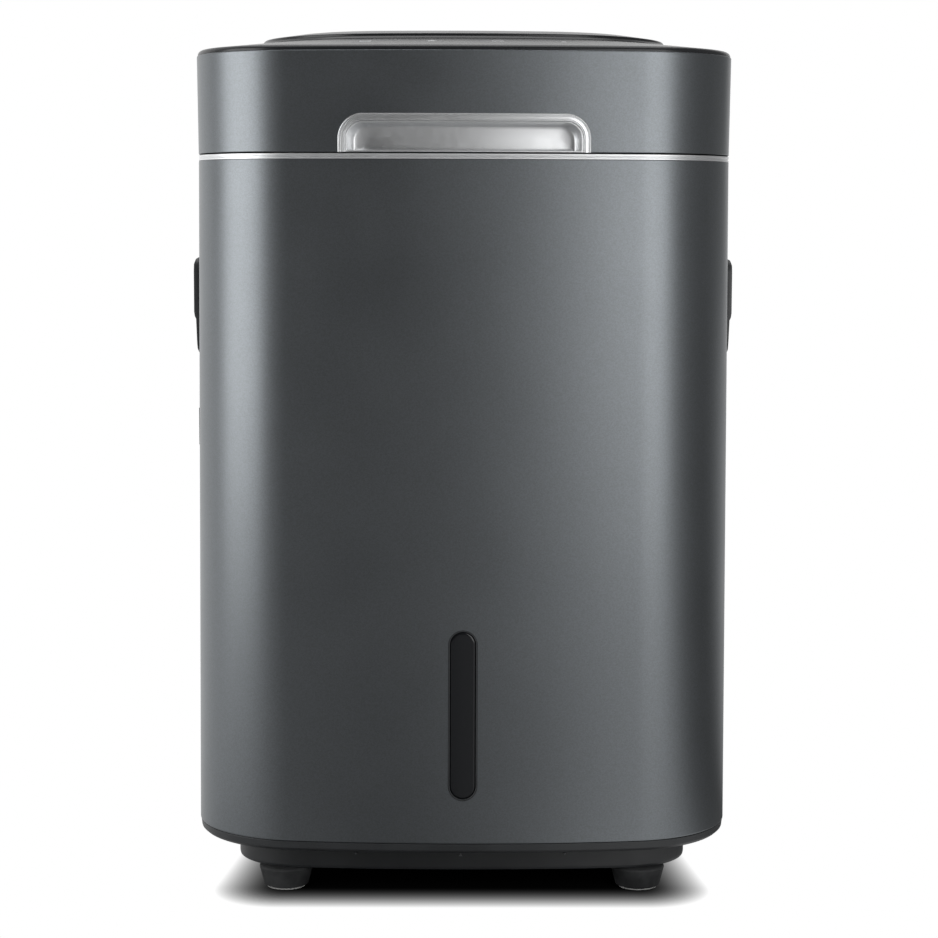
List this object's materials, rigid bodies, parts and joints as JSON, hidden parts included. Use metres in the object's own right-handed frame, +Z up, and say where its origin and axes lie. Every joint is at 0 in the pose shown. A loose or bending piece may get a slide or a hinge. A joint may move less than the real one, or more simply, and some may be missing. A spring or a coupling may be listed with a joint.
{
  "type": "electric food waste composter",
  "caption": "Bow-fronted countertop composter: hinged gloss-topped lid with finger recess, fixed round-bottomed tub with geared mixing paddles, blower, pull-out carbon cassette, plug feet.",
  "frame": {"origin": "on the floor under the centre of the cabinet's bounding box", "axes": "+Z up, -Y towards the front with the window, +X to the right seen from the front"},
  "size_m": [0.3058, 0.3326, 0.469],
  "materials": {
    "gunmetal_paint": "satin metallic paint",
    "satin_black_plastic": "fine satin texture",
    "gloss_black": "polished",
    "bright_trim": "satin plated",
    "stainless_steel": "brushed",
    "silicone_rubber": "matte",
    "grey_pad": "matte",
    "acetal": "satin",
    "bronze": "sintered",
    "circuit_board": "solder mask",
    "carbon": "granular"
  },
  "bodies": {
    "cabinet": {"base_pan": "satin_black_plastic", "cabinet_shell": "gunmetal_paint", "seam_trim": "bright_trim", "top_deck": "satin_black_plastic", "tub": "stainless_steel", "tub_cradle": "satin_black_plastic", "heater_pad": "silicone_rubber", "hinge_block": "satin_black_plastic", "hinge_pins": "stainless_steel", "window_lens": "gloss_black", "window_rim": "satin_black_plastic", "light_board": "circuit_board", "grip_left": "satin_black_plastic", "grip_right": "satin_black_plastic", "switch_frame": "satin_black_plastic", "rear_panel": "satin_black_plastic", "rear_screws": "stainless_steel", "power_inlet": "satin_black_plastic", "base_screws": "stainless_steel", "foot_pads": "grey_pad", "foot_front_left": "silicone_rubber", "foot_front_right": "silicone_rubber", "foot_rear_left": "silicone_rubber", "foot_rear_right": "silicone_rubber", "shaft_bush_left": "bronze", "shaft_bush_right": "bronze", "gear_plate": "stainless_steel", "gearmotor": "stainless_steel", "intake_duct": "satin_black_plastic", "blower_housing": "satin_black_plastic", "blower_motor": "satin_black_plastic", "filter_bay": "satin_black_plastic", "control_board": "circuit_board", "board_tray": "satin_black_plastic"},
    "lid": {"lid_shell": "gunmetal_paint", "lid_top_panel": "gloss_black", "lid_inset": "gloss_black", "lid_liner": "satin_black_plastic", "lid_seal": "silicone_rubber", "lid_screws": "stainless_steel", "touch_board": "circuit_board", "scoop": "bright_trim", "scoop_bezel": "bright_trim", "hinge_arm_left": "stainless_steel", "hinge_arm_right": "stainless_steel"},
    "agitator": {"agitator_shaft": "stainless_steel", "paddle_1": "stainless_steel", "paddle_2": "stainless_steel", "paddle_3": "stainless_steel", "paddle_4": "stainless_steel", "paddle_5": "stainless_steel", "drive_gear": "acetal", "gear_nut": "stainless_steel"},
    "idler": {"idler_gear": "acetal"},
    "pinion": {"motor_pinion": "stainless_steel"},
    "fan": {"blower_wheel": "acetal"},
    "switch_rocker": {"rocker": "satin_black_plastic"},
    "cassette": {"filter_face": "satin_black_plastic", "filter_tray": "acetal", "carbon_bed": "carbon"}
  },
  "joints": [
    {"name": "lid_hinge", "type": "hinge", "parent": "cabinet", "child": "lid", "pos_m": [0, 0.155, 0.407], "axis": [-1, 0, 0], "range_deg": [0, 85]},
    {"name": "agitator_turn", "type": "hinge", "parent": "cabinet", "child": "agitator", "pos_m": [0, -0.05, 0.16], "axis": [1, 0, 0], "continuous": true},
    {"name": "idler_turn", "type": "hinge", "parent": "cabinet", "child": "idler", "pos_m": [0.123, 0.04359, 0.13863], "axis": [1, 0, 0], "continuous": true},
    {"name": "pinion_turn", "type": "hinge", "parent": "cabinet", "child": "pinion", "pos_m": [0.123, 0.07, 0.095], "axis": [1, 0, 0], "continuous": true},
    {"name": "fan_turn", "type": "hinge", "parent": "cabinet", "child": "fan", "pos_m": [-0.06, 0.077, 0.104], "axis": [0, 1, 0], "continuous": true},
    {"name": "rocker_press", "type": "hinge", "parent": "cabinet", "child": "switch_rocker", "pos_m": [-0.1476, -0.05, 0.2484], "axis": [0, -1, 0], "range_deg": [0, 12]},
    {"name": "cassette_slide", "type": "slide", "parent": "cabinet", "child": "cassette", "axis": [0, 1, 0], "range_m": [0, 0.11]}
  ],
  "couplings": [
    {"joint": "idler_turn", "follows": "agitator_turn", "ratio": -1.6667},
    {"joint": "pinion_turn", "follows": "agitator_turn", "ratio": 4}
  ]
}
